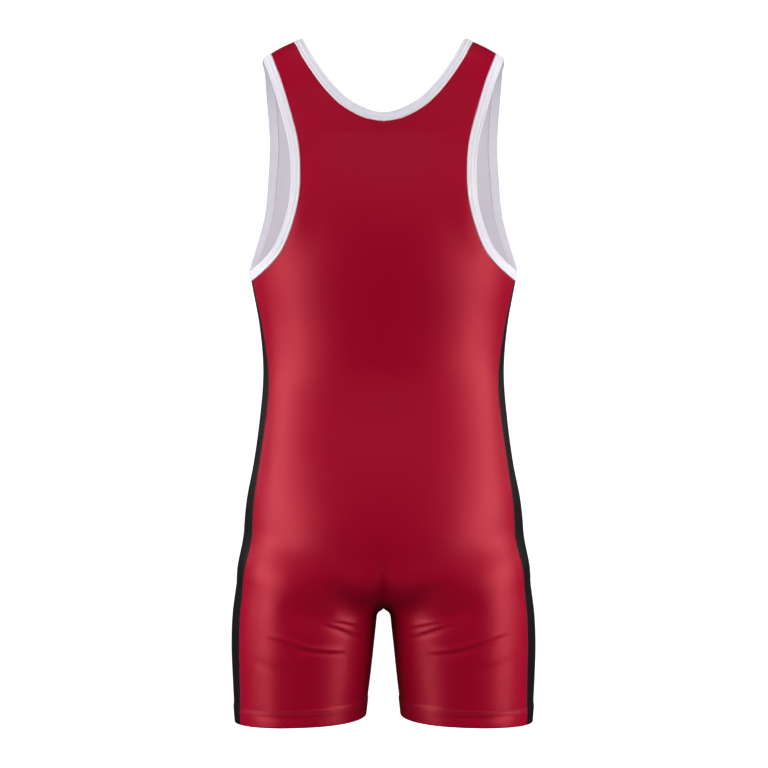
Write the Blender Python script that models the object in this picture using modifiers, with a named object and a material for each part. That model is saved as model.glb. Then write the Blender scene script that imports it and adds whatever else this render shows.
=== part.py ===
"""A wrestling singlet in the hollow form that it takes when worn.

Knitted stretch panels follow a general figure's trunk and thighs: one back and one front, each cut
in one with its two leg halves, a side panel down each flank, and a folded binding round the neck
and round each armhole.  The wearer faces +Y, +X is the wearer's right and Z is 0 on top of the
shoulders, where the straps hang.
"""

from functools import lru_cache

import bpy
import numpy as np

MM = 0.001  # all sizes below are in millimetres

# Cloth and seams
WALL = 1.2  # a panel's wall
HEM_WALL = 2.2  # two plies where a leg end is turned up
BINDING_WALL = 2.6  # the folded binding and the panel's edge inside it
NECK_BINDING_WIDTH = 11.0
ARM_BINDING_WIDTH = 12.0
HEM_DEPTH = 20.0
SEAM_GAP = 0.4  # from one piece's edge to the next

# The figure's trunk: each row is a level section, rounded by ROUNDNESS between its four sides
ROUNDNESS = 2.2
TRUNK_COLUMNS = ("height", "half_width", "back", "front")
TRUNK = (
    (-630, 166.5, 110, 88),
    (-596, 168.3, 113, 91),
    (-556, 165, 111, 94),
    (-512, 156.3, 104, 95),
    (-457, 148.6, 91, 94),
    (-402, 145, 82, 93),
    (-347, 149.2, 87, 97),
    (-292, 158.5, 98, 103),
    (-240, 167, 105, 105),
    (-190, 178, 104, 99),
    (-120, 195, 92, 80),
)
SHOULDER_RISE = 136.3  # from the top section to the crown of the rounded shoulders
SEAT_DROP = 53.0  # from the bottom section to the fork

# The figure's right thigh, and the rounded end that carries it up into the seat
THIGH_COLUMNS = ("height", "middle", "half_width", "back", "front")
THIGH = (
    (-840, 101, 76, 84, 73),
    (-804, 100.7, 79.2, 87, 76),
    (-768, 99.3, 82.4, 90, 80),
    (-731, 97.8, 85, 93, 84),
    (-695, 95.3, 86.3, 96, 85),
    (-655, 91.4, 85.3, 100, 84),
)
THIGH_RISE = 80.0
FORK_BLEND = 16.0  # how softly thigh and trunk run together

# Free edges on the right half, from the shoulder round.  Each row is a point that the edge goes
# through, seen from the back or the front; "top" lies on the crown of the shoulder and "side" on
# the flank.
EDGE_COLUMNS = ("half_width", "height", "face")
NECK = (
    (0, -97, "back"),
    (38, -83, "back"),
    (63, -58, "back"),
    (80, -33, "back"),
    (100, 0, "top"),
    (98, -40, "front"),
    (87, -95, "front"),
    (57, -146, "front"),
    (0, -168, "front"),
)
ARMHOLE = (
    (146, 0, "top"),
    (133, -56, "back"),
    (119.5, -100, "back"),
    (108.5, -160, "back"),
    (110.5, -206, "back"),
    (124, -246, "back"),
    (161, -277, "side"),
    (157, -250, "front"),
    (148, -210, "front"),
    (143, -150, "front"),
    (143.5, -80, "front"),
    (146, -30, "front"),
)

# Side panel: half its width, measured round the figure from the flank's widest line
SIDE_COLUMNS = ("height", "half_width")
SIDE = (
    (-822, 47),
    (-760, 54),
    (-690, 56),
    (-620, 54),
    (-560, 48),
    (-500, 39.5),
    (-440, 35.5),
    (-398, 31),
    (-350, 25.5),
    (-270, 21),
)

# Levels that the rows of knitting pass through
YOKE_FOOT = -286.0  # the last row that ends on the armhole, at the centre line
SEAT_TOP = -560.0  # the first row that turns under the seat
FORK_STEP = 8.0  # from the fork to the first whole ring of the leg
HEM_HEIGHT = -821.0  # outside of the leg
HEM_LIFT = 7.0  # how much higher the hem sits at the inseam

# Rows and columns of each panel's net
STRAP_ROWS = 12
YOKE_ROWS = 8
TRUNK_ROWS = 10
SEAT_ROWS = 8
LEG_ROWS = 6
PANEL_COLUMNS = 8
SIDE_PANEL_COLUMNS = 4
BINDING_COLUMNS = 2
STRAP_SHARE = {"back": 0.5, "front": 0.8}  # how much of the armhole faces the neck edge
FINE = 48  # points along a row before it is spaced out
EDGE_STEP = 6.0  # the first and last step of a row

RED = (0.36, 0.006, 0.02, 1.0)
BLACK = (0.012, 0.010, 0.011, 1.0)
WHITE = (0.80, 0.79, 0.84, 1.0)

BACK, FRONT = -1.0, 1.0


def smooth_between(at, knots, values):
    """Return a smooth curve through the values that belong to ascending knots."""
    knots = np.asarray(knots, float)
    values = np.asarray(values, float)
    slopes = np.gradient(values, knots, axis=0)
    at = np.clip(np.asarray(at, float), knots[0], knots[-1])
    i = np.clip(np.searchsorted(knots, at) - 1, 0, len(knots) - 2)
    span = knots[i + 1] - knots[i]
    t = (at - knots[i]) / span
    if values.ndim > 1:
        t = t[..., None]
        span = span[..., None]
    start = (1 + 2 * t) * (1 - t) ** 2 * values[i] + t * (1 - t) ** 2 * span * slopes[i]
    end = t * t * (3 - 2 * t) * values[i + 1] + t * t * (t - 1) * span * slopes[i + 1]
    return start + end


@lru_cache(maxsize=None)
def fine_column(table, columns, name):
    """Return a table's heights and one named column, drawn smoothly at every half millimetre."""
    k = columns.index(name)
    heights = np.arange(table[0][0], table[-1][0] + 0.5, 0.5)
    knots = [row[0] for row in table]
    return heights, smooth_between(heights, knots, [row[k] for row in table])


def column(table, columns, name, height):
    """Look up one named column of a table at the given heights."""
    heights, values = fine_column(table, columns, name)
    return np.interp(height, heights, values)


def reach(points, table, columns, above, below, side=1.0):
    """Say how far out points are on one body of the figure: 1 on its skin, less inside."""
    low, high = table[0][0], table[-1][0]
    height = np.clip(points[:, 2], low, high)
    middle = side * column(table, columns, "middle", height) if "middle" in columns else 0.0
    half_width = column(table, columns, "half_width", height)
    back = column(table, columns, "back", height)
    front = column(table, columns, "front", height)
    x = np.abs(points[:, 0] - middle) / half_width
    y = np.abs(points[:, 1]) / np.where(points[:, 1] < 0, back, front)
    past = points[:, 2] - height
    z = np.where(past > 0, past / above, -past / below)
    total = x ** ROUNDNESS + y ** ROUNDNESS + z ** ROUNDNESS
    return total ** (1 / ROUNDNESS)


def trunk_reach(points):
    return reach(points, TRUNK, TRUNK_COLUMNS, SHOULDER_RISE, SEAT_DROP)


def right_thigh_reach(points):
    return reach(points, THIGH, THIGH_COLUMNS, THIGH_RISE, THIGH_RISE)


def left_thigh_reach(points):
    return reach(points, THIGH, THIGH_COLUMNS, THIGH_RISE, THIGH_RISE, side=-1.0)


def slope(function, points, step=0.25):
    """Return the function's gradient at the points."""
    moves = step * np.vstack([np.eye(3), -np.eye(3)])
    values = function((points[None] + moves[:, None]).reshape(-1, 3)).reshape(6, -1)
    return (values[:3] - values[3:]).T / (2 * step)


def height_over(body, points):
    """Return the points' distance from a body's skin, negative inside."""
    steepness = np.linalg.norm(slope(body, points), axis=1)
    return (body(points) - 1) / np.maximum(steepness, 1e-4)


def blend(a, b):
    """Join two distances with a soft fillet."""
    overlap = np.maximum(FORK_BLEND - np.abs(a - b), 0)
    return np.minimum(a, b) - overlap ** 2 / (4 * FORK_BLEND)


def figure(points):
    """Return the points' distance from the whole figure."""
    legs = blend(height_over(right_thigh_reach, points), height_over(left_thigh_reach, points))
    return blend(legs, height_over(trunk_reach, points))


def onto(points, free=(1, 1, 1), rounds=7):
    """Move points onto the figure along the axes in which they are free."""
    points = np.array(points, float).reshape(-1, 3)
    for _ in range(rounds):
        gradient = slope(figure, points) * np.array(free, float)
        steep = np.maximum((gradient ** 2).sum(axis=1), 0.05)
        points = points - (figure(points) / steep)[:, None] * gradient
    return points


def lengths(points):
    """Return the running length along a line of points."""
    steps = np.linalg.norm(np.diff(points, axis=0), axis=1)
    return np.concatenate([[0.0], np.cumsum(steps)])


def along(points, distances):
    """Return the points that lie at the given distances along a line."""
    run = lengths(points)
    return np.stack([np.interp(distances, run, points[:, k]) for k in range(3)], axis=1)


def evenly(points):
    """Space a fine line of points on the figure evenly and keep its ends."""
    for _ in range(2):
        line = along(points, np.linspace(0, lengths(points)[-1], FINE + 1))
        line[1:-1] = onto(line[1:-1], rounds=3)
        points = line
    return points


def spaced(points, count):
    """Pick a row's points from a line on the figure, with short steps beside its two ends."""
    points = evenly(points)
    whole = lengths(points)[-1]
    step = min(EDGE_STEP, whole / count)
    places = np.concatenate([[0.0], np.linspace(step, whole - step, count - 1), [whole]])
    even = along(points, places)
    even[1:-1] = onto(even[1:-1], rounds=3)
    return even


def straight(start, end, count=FINE):
    """Return a straight line of points from start to end."""
    t = np.linspace(0, 1, count + 1)[:, None]
    return (1 - t) * np.asarray(start) + t * np.asarray(end)


def edge_points(table):
    """Put each row of an edge's table onto the figure."""
    free = {"back": (0, 1, 0), "front": (0, 1, 0), "top": (0, 0, 1), "side": (1, 0, 0)}
    depth = {"back": -60.0, "front": 60.0, "top": 0.0, "side": 0.0}
    found = []
    for values in table:
        row = dict(zip(EDGE_COLUMNS, values))
        start = (row["half_width"], depth[row["face"]], row["height"])
        found.append(onto(start, free[row["face"]], rounds=14)[0])
    return np.array(found)


def edge_line(points, before, after):
    """Return a fine smooth line through points, given its neighbours past both ends."""
    knots = np.vstack([before, points, after])
    run = lengths(knots)
    at = np.linspace(run[len(before)], run[-1 - len(after)], 361)
    return onto(smooth_between(at, run, knots), rounds=3)


def moved_in(line, distance, closed=False):
    """Move a free edge's points into the cloth, square to the edge."""
    if closed:
        ahead, behind = np.roll(line, -1, axis=0), np.roll(line, 1, axis=0)
        tangent = ahead - behind
    else:
        tangent = np.gradient(line, axis=0)
        tangent[[0, -1], 1:] = 0.0
    across = np.cross(tangent, slope(figure, line))
    across /= np.linalg.norm(across, axis=1)[:, None]
    return onto(line + distance * across, rounds=3)


def neck_line():
    """Return the neck's free edge on the right half, from the back's centre to the front's."""
    points = edge_points(NECK)
    mirror = np.array([-1, 1, 1])
    line = edge_line(points, points[1:2] * mirror, points[-2:-1] * mirror)
    line[[0, -1], 0] = 0.0
    return line


def armhole_line():
    """Return the armhole's free edge, from the shoulder round the back and up the front."""
    points = edge_points(ARMHOLE)
    return edge_line(points, points[-2:], np.vstack([points[:1], points[1:3]]))[:-1]


def flank(height, face):
    """Return the level section from the flank's widest line towards the back or front."""
    y = face * np.linspace(0, 70, 71)
    start = column(TRUNK, TRUNK_COLUMNS, "half_width", height)
    guess = np.stack([np.full(71, float(start)), y, np.full(71, float(height))], axis=1)
    return onto(guess, (1, 0, 0), rounds=9)


def seam_point(height, face, beyond):
    """Return the side seam's point at a height, moved beyond it, away from the flank."""
    half_width = column(SIDE, SIDE_COLUMNS, "half_width", height)
    return along(flank(height, face), [half_width + beyond])[0]


def seam_top(armhole, face):
    """Return the height at which the side seam runs under the armhole's binding."""
    low, high = SIDE[-2][0], armhole[:, 2].min()
    for _ in range(18):
        middle = (low + high) / 2
        point = seam_point(middle, face, 0.0)
        clear = np.linalg.norm(armhole - point, axis=1).min() > ARM_BINDING_WIDTH + SEAM_GAP / 2
        low, high = (middle, high) if clear else (low, middle)
    return (low + high) / 2


def loft(name, rows, colour, roughness):
    """Make a mesh object from rows of points, closed into a ring if the last row is the first."""
    rows = np.array(rows)
    ring = np.allclose(rows[0], rows[-1])
    count = len(rows) - 1 if ring else len(rows)
    wide = rows.shape[1]
    points = rows[:count].reshape(-1, 3)
    faces = []
    for i in range(len(rows) - 1):
        for j in range(wide - 1):
            a, b = i * wide + j, (i + 1) % count * wide + j
            faces.append((a, b, b + 1, a + 1))
    mesh = bpy.data.meshes.new(name)
    mesh.from_pydata((points * MM).tolist(), [], faces)
    middle = points.mean(axis=0)
    corners = points[list(faces[len(faces) // 2])]
    outward = slope(figure, corners.mean(axis=0, keepdims=True))[0]
    facing = np.cross(corners[1] - corners[0], corners[3] - corners[0])
    if facing @ outward < 0:
        mesh.flip_normals()
    mesh.shade_smooth()
    thing = bpy.data.objects.new(name, mesh)
    garment.objects.link(thing)
    material = bpy.data.materials.new(name)
    material.use_nodes = True
    shader = material.node_tree.nodes["Principled BSDF"]
    shader.inputs["Base Color"].default_value = colour
    shader.inputs["Roughness"].default_value = roughness
    shader.inputs["Metallic"].default_value = 0.0
    mesh.materials.append(material)
    return thing


def mirror(thing):
    """Complete a half that is open on the centre plane."""
    modifier = thing.modifiers.new("Mirror", "MIRROR")
    modifier.use_axis = (True, False, False)
    modifier.merge_threshold = 0.00005


def thicken(thing, wall, offset=1.0, hem_first=None):
    """Give the cloth its wall; the rows from hem_first down are two plies thick."""
    modifier = thing.modifiers.new("Wall", "SOLIDIFY")
    modifier.thickness = wall * MM
    modifier.offset = offset
    modifier.use_even_offset = False
    if hem_first is None:
        return
    hem = thing.vertex_groups.new(name="hem")
    hem.add(list(range(hem_first, len(thing.data.vertices))), 1.0, "REPLACE")
    modifier.thickness = HEM_WALL * MM
    modifier.vertex_group = "hem"
    modifier.thickness_vertex_group = wall / HEM_WALL


def centre_curve(face):
    """Return the centre line under the seat or the belly, from SEAT_TOP to the fork."""
    turn = np.linspace(0, 0.5 * np.pi, 61)
    y = face * 115 * np.cos(turn)
    z = SEAT_TOP - 130 * np.sin(turn)
    line = onto(np.stack([0 * turn, y, z], axis=1), (0, 1, 1))
    line[-1] = (0.0, face * SEAM_GAP / 2, fork_height(face))
    line[0] = onto((0, face * 100, SEAT_TOP), (0, 1, 0))[0]
    return line


def fork_height(face):
    """Return the height of the fork beside the inseam."""
    return onto((0, face * SEAM_GAP / 2, TRUNK[0][0] - SEAT_DROP), (0, 0, 1))[0, 2]


def inseam_point(height, face):
    """Return a point on the inner thigh, beside the inseam."""
    return onto((10.0, face * SEAM_GAP / 2, height), (1, 0, 0), rounds=12)[0]


def leg_row(inner, outer, face):
    """Return a row round half of the thigh from the inseam to the side seam."""
    share = np.linspace(0, 1, FINE + 1)
    z = np.minimum(inner[2] + (outer[2] - inner[2]) * share, leg_top())
    middle = column(THIGH, THIGH_COLUMNS, "middle", z)
    half_width = column(THIGH, THIGH_COLUMNS, "half_width", z)
    depth = column(THIGH, THIGH_COLUMNS, "back" if face < 0 else "front", z)
    last = np.arctan2(abs(outer[1]) / depth[-1], (outer[0] - middle[-1]) / half_width[-1])
    turn = np.linspace(np.pi, last, FINE + 1)
    x = middle + half_width * np.cos(turn)
    y = face * depth * np.sin(turn)
    line = onto(np.stack([x, y, z], axis=1), (1, 1, 0))
    line[0], line[-1] = inner, outer
    return line


def leg_top():
    """Return the level just under the fork, where the legs part."""
    return fork_height(BACK) - FORK_STEP / 2


def seat_row(upper, lower, share):
    """Return a row that lies between the trunk's last level row and the fork's row."""
    u = np.linspace(0, 1, FINE + 1)[:, None]
    hub = np.hstack([90 * u, 0 * u, SEAT_TOP - 60 * u])
    start, end = upper - hub, lower - hub
    far = np.linalg.norm(start, axis=1), np.linalg.norm(end, axis=1)
    cosine = (start * end).sum(axis=1) / (far[0] * far[1])
    angle = np.arccos(np.clip(cosine, -1, 1))[:, None]
    a, b = np.sin((1 - share) * angle), np.sin(share * angle)
    return onto(hub + (a * start + b * end) / np.sin(angle))


def panel_rows(face, neck, armhole, side_heights):
    """Return the net of a back or front half: rows from the shoulder down to the hem."""
    centre_top = onto((0, face * 90, neck[-1][2]), (0, 1, 0))[0]
    rows = []
    for a, b in zip(neck, armhole):
        rows.append(spaced(onto(straight(a, b)), PANEL_COLUMNS))
    rows[0] = shoulder_row(rows[0], face)
    yoke = np.linspace(centre_top[2], YOKE_FOOT, YOKE_ROWS + 1)[1:]
    for z, b in zip(yoke, armhole[STRAP_ROWS + 1:]):
        a = onto((0, face * 90, z), (0, 1, 0))[0]
        rows.append(spaced(onto(straight(a, b)), PANEL_COLUMNS))
    trunk = np.linspace(YOKE_FOOT, SEAT_TOP, TRUNK_ROWS + 1)[1:]
    half_gap = SEAM_GAP / 2
    for z, side_z in zip(trunk, side_heights[1:]):
        a = onto((0, face * 90, z), (0, 1, 0))[0]
        b = seam_point(side_z, face, half_gap)
        line = onto(straight(a, b))
        rows.append(spaced(line, PANEL_COLUMNS))
    upper = evenly(line)
    curve = centre_curve(face)
    under = along(curve, np.linspace(0, lengths(curve)[-1], SEAT_ROWS + 1))
    under[1:-1] = onto(under[1:-1], (0, 1, 1))
    seat = side_heights[TRUNK_ROWS:TRUNK_ROWS + SEAT_ROWS + 1]
    lower = evenly(leg_row(under[-1], seam_point(seat[-1], face, half_gap), face))
    for k in range(1, SEAT_ROWS):
        line = seat_row(upper, lower, k / SEAT_ROWS)
        line[0], line[-1] = under[k], seam_point(seat[k], face, half_gap)
        rows.append(spaced(line, PANEL_COLUMNS))
    rows.append(spaced(lower, PANEL_COLUMNS))
    for inner, outer in zip(inseam_heights(), side_heights[TRUNK_ROWS + SEAT_ROWS + 1:]):
        a = inseam_point(inner, face)
        b = seam_point(outer, face, half_gap)
        rows.append(spaced(leg_row(a, b, face), PANEL_COLUMNS))
    return rows


def shoulder_row(row, face):
    """Move a strap's top row off the shoulder seam."""
    row = row + np.array([0, face * SEAM_GAP / 2, 0])
    return onto(row, (0, 0, 1))


def inseam_heights():
    """Return the heights of the leg's rows at the inseam, the last three at the hem."""
    top, hem = fork_height(BACK) - FORK_STEP, HEM_HEIGHT + HEM_LIFT
    plain = np.linspace(top, hem + HEM_DEPTH + 1, LEG_ROWS)
    return np.concatenate([plain, [hem + HEM_DEPTH, hem]])


def outer_heights(top):
    """Return the heights of every row at the side seam, from under the armhole down."""
    trunk = np.linspace(top, SEAT_TOP, TRUNK_ROWS + 1)
    seat = np.linspace(SEAT_TOP, leg_top(), SEAT_ROWS + 1)[1:]
    first = leg_top() - FORK_STEP
    plain = np.linspace(first, HEM_HEIGHT + HEM_DEPTH + 1, LEG_ROWS)
    return np.concatenate([trunk, seat, plain, [HEM_HEIGHT + HEM_DEPTH, HEM_HEIGHT]])


def side_rows(back_heights, front_heights, armhole_foot):
    """Return the side panel's net, its first row under the armhole."""
    rows = [armhole_foot]
    for back_z, front_z in zip(back_heights[1:], front_heights[1:]):
        a = seam_point(back_z, BACK, -SEAM_GAP / 2)
        b = seam_point(front_z, FRONT, -SEAM_GAP / 2)
        rows.append(spaced(onto(straight(a, b)), SIDE_PANEL_COLUMNS))
    return rows


def build():
    """Make every piece of the singlet."""
    neck = neck_line()
    crest = int(np.argmin(np.abs(neck[:, 1])))
    shares = np.linspace(0, 1, STRAP_ROWS + 1)
    neck_back = along(neck[:crest + 1][::-1], shares * lengths(neck[:crest + 1])[-1])
    neck_front = along(neck[crest:], shares * lengths(neck[crest:])[-1])
    neck_edge = np.vstack([neck_back[::-1], neck_front[1:]])

    armhole = armhole_line()
    feet = {}
    for face in (BACK, FRONT):
        top = seam_top(armhole, face)
        point = seam_point(top, face, 0.0)
        near = int(np.argmin(np.linalg.norm(armhole - point, axis=1)))
        feet[face] = (top, near)
    run = lengths(np.vstack([armhole, armhole[:1]]))
    turns = {}
    for side, share in STRAP_SHARE.items():
        strap_turns = np.linspace(0, share, STRAP_ROWS + 1)
        yoke_turns = np.linspace(share, 1, YOKE_ROWS + 1)[1:]
        turns[side] = np.concatenate([strap_turns, yoke_turns])
    back_length = run[feet[BACK][1]]
    front_start, whole = run[feet[FRONT][1]], run[-1]
    foot_at = np.linspace(back_length, front_start, SIDE_PANEL_COLUMNS + 1)
    front_at = whole - turns["front"][::-1] * (whole - front_start)
    closed = np.vstack([armhole, armhole[:1]])
    at = np.concatenate([turns["back"] * back_length, foot_at[1:-1], front_at[:-1]])
    arm_edge = along(closed, at)

    half_gap = SEAM_GAP / 2
    neck_inner = moved_in(neck_edge, NECK_BINDING_WIDTH + half_gap)
    neck_inner[[0, -1], 0] = 0.0
    arm_inner = moved_in(arm_edge, ARM_BINDING_WIDTH + half_gap, closed=True)

    count = STRAP_ROWS + YOKE_ROWS
    back_arm = arm_inner[:count + 1]
    front_arm = np.vstack([arm_inner[:1], arm_inner[::-1][:count]])
    back_neck = neck_inner[:STRAP_ROWS + 1][::-1]
    front_neck = neck_inner[STRAP_ROWS:]
    foot = arm_inner[count:count + SIDE_PANEL_COLUMNS + 1].copy()

    heights = {face: outer_heights(feet[face][0]) for face in (BACK, FRONT)}
    back_arm[-1] = seam_point(back_arm[-1][2], BACK, half_gap)
    front_arm[-1] = seam_point(front_arm[-1][2], FRONT, half_gap)
    foot[0] = seam_point(foot[0][2], BACK, -half_gap)
    foot[-1] = seam_point(foot[-1][2], FRONT, -half_gap)

    hem_rows = 2
    for name, face, neck_side, arm_side in (
        ("back_panel", BACK, back_neck, back_arm),
        ("front_panel", FRONT, front_neck, front_arm),
    ):
        rows = panel_rows(face, neck_side, arm_side, heights[face])
        rows[-1 - LEG_ROWS - hem_rows][0][0] = 0.0
        panel = loft(name, rows, RED, 0.42)
        mirror(panel)
        hem_first = (len(rows) - hem_rows) * (PANEL_COLUMNS + 1)
        thicken(panel, WALL, hem_first=hem_first)

    flank_rows = side_rows(heights[BACK], heights[FRONT], foot)
    sides = {"right": np.array([1, 1, 1]), "left": np.array([-1, 1, 1])}
    for side, flip in sides.items():
        rows = np.array(flank_rows) * flip
        panel = loft("side_panel_" + side, rows, BLACK, 0.5)
        hem_first = (len(rows) - hem_rows) * (SIDE_PANEL_COLUMNS + 1)
        thicken(panel, WALL, hem_first=hem_first)

    widths = np.linspace(0, NECK_BINDING_WIDTH - half_gap, BINDING_COLUMNS + 1)
    strips = [moved_in(neck_edge, width) for width in widths]
    rows = np.stack(strips, axis=1)
    rows[[0, -1], :, 0] = 0.0
    binding = loft("neck_binding", rows, WHITE, 0.55)
    mirror(binding)
    thicken(binding, BINDING_WALL, offset=WALL / BINDING_WALL)

    widths = np.linspace(0, ARM_BINDING_WIDTH - half_gap, BINDING_COLUMNS + 1)
    strips = [moved_in(arm_edge, width, closed=True) for width in widths]
    ring = np.stack(strips, axis=1)
    ring = np.concatenate([ring, ring[:1]])
    for side, flip in sides.items():
        binding = loft("armhole_binding_" + side, ring * flip, WHITE, 0.55)
        thicken(binding, BINDING_WALL, offset=WALL / BINDING_WALL)


for old in list(bpy.data.objects):
    bpy.data.objects.remove(old, do_unlink=True)
garment = bpy.data.collections.new("wrestling_singlet")
bpy.context.scene.collection.children.link(garment)
build()
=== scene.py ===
"""Scene of a wrestling singlet, seen from behind, on the frame's CAD.

Every visible piece is a thin closed shell that follows the same figure and the same cut edges as
the CAD, with finer nets, listed creases, rounded bindings, hems and stitches.
"""
from functools import lru_cache

import bpy
import numpy as np
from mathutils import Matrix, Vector


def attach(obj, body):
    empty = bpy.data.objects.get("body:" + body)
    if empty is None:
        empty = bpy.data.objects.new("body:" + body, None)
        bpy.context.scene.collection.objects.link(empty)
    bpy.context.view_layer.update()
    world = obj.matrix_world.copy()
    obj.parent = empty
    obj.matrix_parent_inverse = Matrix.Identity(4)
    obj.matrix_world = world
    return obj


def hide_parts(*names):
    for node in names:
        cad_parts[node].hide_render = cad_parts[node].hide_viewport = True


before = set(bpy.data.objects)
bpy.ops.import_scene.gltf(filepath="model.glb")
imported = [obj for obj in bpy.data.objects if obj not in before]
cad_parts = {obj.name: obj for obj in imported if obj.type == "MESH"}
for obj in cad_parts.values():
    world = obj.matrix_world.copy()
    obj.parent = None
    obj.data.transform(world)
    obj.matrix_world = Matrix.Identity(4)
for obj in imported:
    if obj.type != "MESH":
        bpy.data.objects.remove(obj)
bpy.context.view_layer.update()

MM = 0.001

# Cloth and seams, in millimetres
WALL = 1.2  # a panel's wall
HEM_WALL = 2.2  # two plies where a leg end is turned up
NECK_BINDING_WIDTH = 11.0
ARM_BINDING_WIDTH = 12.0
HEM_DEPTH = 20.0
SEAM_GAP = 0.4  # from one piece's edge to the next

# The figure's trunk: each row is a level section, rounded by ROUNDNESS between its four sides
ROUNDNESS = 2.2
TRUNK_COLUMNS = ("height", "half_width", "back", "front")
TRUNK = (
    (-630, 166.5, 110, 88),
    (-596, 168.3, 113, 91),
    (-556, 165, 111, 94),
    (-512, 156.3, 104, 95),
    (-457, 148.6, 91, 94),
    (-402, 145, 82, 93),
    (-347, 149.2, 87, 97),
    (-292, 158.5, 98, 103),
    (-240, 167, 105, 105),
    (-190, 178, 104, 99),
    (-120, 195, 92, 80),
)
SHOULDER_RISE = 136.3  # from the top section to the crown of the rounded shoulders
SEAT_DROP = 53.0  # from the bottom section to the fork

# The figure's right thigh, and the rounded end that carries it up into the seat
THIGH_COLUMNS = ("height", "middle", "half_width", "back", "front")
THIGH = (
    (-840, 101, 76, 84, 73),
    (-804, 100.7, 79.2, 87, 76),
    (-768, 99.3, 82.4, 90, 80),
    (-731, 97.8, 85, 93, 84),
    (-695, 95.3, 86.3, 96, 85),
    (-655, 91.4, 85.3, 100, 84),
)
THIGH_RISE = 80.0
FORK_BLEND = 16.0  # how softly thigh and trunk run together

# Free edges on the right half, from the shoulder round.  Each row is a point that the edge goes
# through, seen from the back or the front; "top" lies on the crown of the shoulder and "side" on
# the flank.
EDGE_COLUMNS = ("half_width", "height", "face")
NECK = (
    (0, -97, "back"),
    (38, -83, "back"),
    (63, -58, "back"),
    (80, -33, "back"),
    (100, 0, "top"),
    (98, -40, "front"),
    (87, -95, "front"),
    (57, -146, "front"),
    (0, -168, "front"),
)
ARMHOLE = (
    (146, 0, "top"),
    (133, -56, "back"),
    (119.5, -100, "back"),
    (108.5, -160, "back"),
    (110.5, -206, "back"),
    (124, -246, "back"),
    (161, -277, "side"),
    (157, -250, "front"),
    (148, -210, "front"),
    (143, -150, "front"),
    (143.5, -80, "front"),
    (146, -30, "front"),
)

# Side panel: half its width, measured round the figure from the flank's widest line
SIDE_COLUMNS = ("height", "half_width")
SIDE = (
    (-822, 47),
    (-760, 54),
    (-690, 56),
    (-620, 54),
    (-560, 48),
    (-500, 39.5),
    (-440, 35.5),
    (-398, 31),
    (-350, 25.5),
    (-270, 21),
)

# Levels that the rows of knitting pass through
YOKE_FOOT = -286.0  # the last row that ends on the armhole, at the centre line
SEAT_TOP = -560.0  # the first row that turns under the seat
FORK_STEP = 8.0  # from the fork to the first whole ring of the leg
HEM_HEIGHT = -821.0  # outside of the leg
HEM_LIFT = 7.0  # how much higher the hem sits at the inseam

# Rows and columns of each panel's net
STRAP_ROWS = 12
YOKE_ROWS = 8
TRUNK_ROWS = 10
SEAT_ROWS = 8
LEG_ROWS = 6
PANEL_COLUMNS = 8
SIDE_PANEL_COLUMNS = 4
STRAP_SHARE = {"back": 0.5, "front": 0.8}  # how much of the armhole faces the neck edge
FINE = 48  # points along a row before it is spaced out
EDGE_STEP = 6.0  # the first and last step of a row

BACK, FRONT = -1.0, 1.0

# How many steps of the fine net lie in one step of the CAD's, down each stretch and across
STRAP_FINE = 4
YOKE_FINE = 5
TRUNK_FINE = 6
LEG_FINE = 14
HEM_FINE = 10
SIDE_FINE = 5
FINE_ACROSS = 6

# Turned-up hems: the leg's end rises towards the inseam over a span of half widths
HEM_OUTSIDE = 150.0
HEM_SPAN = 130.0
HEM_SLOPE = 1.6  # over which the second ply comes in
HEM_GROOVE_DEPTH = 0.45
HEM_GROOVE_WIDTH = 0.9
HEM_GROOVE_DROP = 1.6  # from the turn-up's top to the stitch line

# Folded bindings, in millimetres over the panel's inner face
BINDING_TOP = 1.9
BINDING_UNDER = 0.7
BINDING_LIFT = 0.15
FOLD_ROUND = 1.6  # how far in the fold rounds off
FREE_ROUND = 0.9  # and how far the sewn edge does
GROOVE_PLACES = (0.3, 0.74)  # stitch grooves, as shares of the width
GROOVE_DEPTH = 0.75
GROOVE_WIDTH = 0.7
NECK_RING_POINTS = 420
ARM_RING_POINTS = 360

# Stitches: step along the seam, thread radius and height over the panel's inner face
FLATLOCK_PITCH, FLATLOCK_RADIUS = 1.7, 0.32
BINDING_PITCH, BINDING_THREAD, BINDING_STITCH_HEIGHT = 2.6, 0.24, 1.55
HEM_PITCH, HEM_THREAD = 2.8, 0.26
HEM_STITCH_SINK = 0.15
HEM_STITCH_ROWS = (-11, -9)


def smooth_between(at, knots, values):
    """Return a smooth curve through the values that belong to ascending knots."""
    knots = np.asarray(knots, float)
    values = np.asarray(values, float)
    slopes = np.gradient(values, knots, axis=0)
    at = np.clip(np.asarray(at, float), knots[0], knots[-1])
    i = np.clip(np.searchsorted(knots, at) - 1, 0, len(knots) - 2)
    span = knots[i + 1] - knots[i]
    t = (at - knots[i]) / span
    if values.ndim > 1:
        t = t[..., None]
        span = span[..., None]
    start = (1 + 2 * t) * (1 - t) ** 2 * values[i] + t * (1 - t) ** 2 * span * slopes[i]
    end = t * t * (3 - 2 * t) * values[i + 1] + t * t * (t - 1) * span * slopes[i + 1]
    return start + end


@lru_cache(maxsize=None)
def fine_column(table, columns, name):
    """Return a table's heights and one named column, drawn smoothly at every half millimetre."""
    k = columns.index(name)
    heights = np.arange(table[0][0], table[-1][0] + 0.5, 0.5)
    knots = [row[0] for row in table]
    return heights, smooth_between(heights, knots, [row[k] for row in table])


def column(table, columns, name, height):
    """Look up one named column of a table at the given heights."""
    heights, values = fine_column(table, columns, name)
    return np.interp(height, heights, values)


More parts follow.
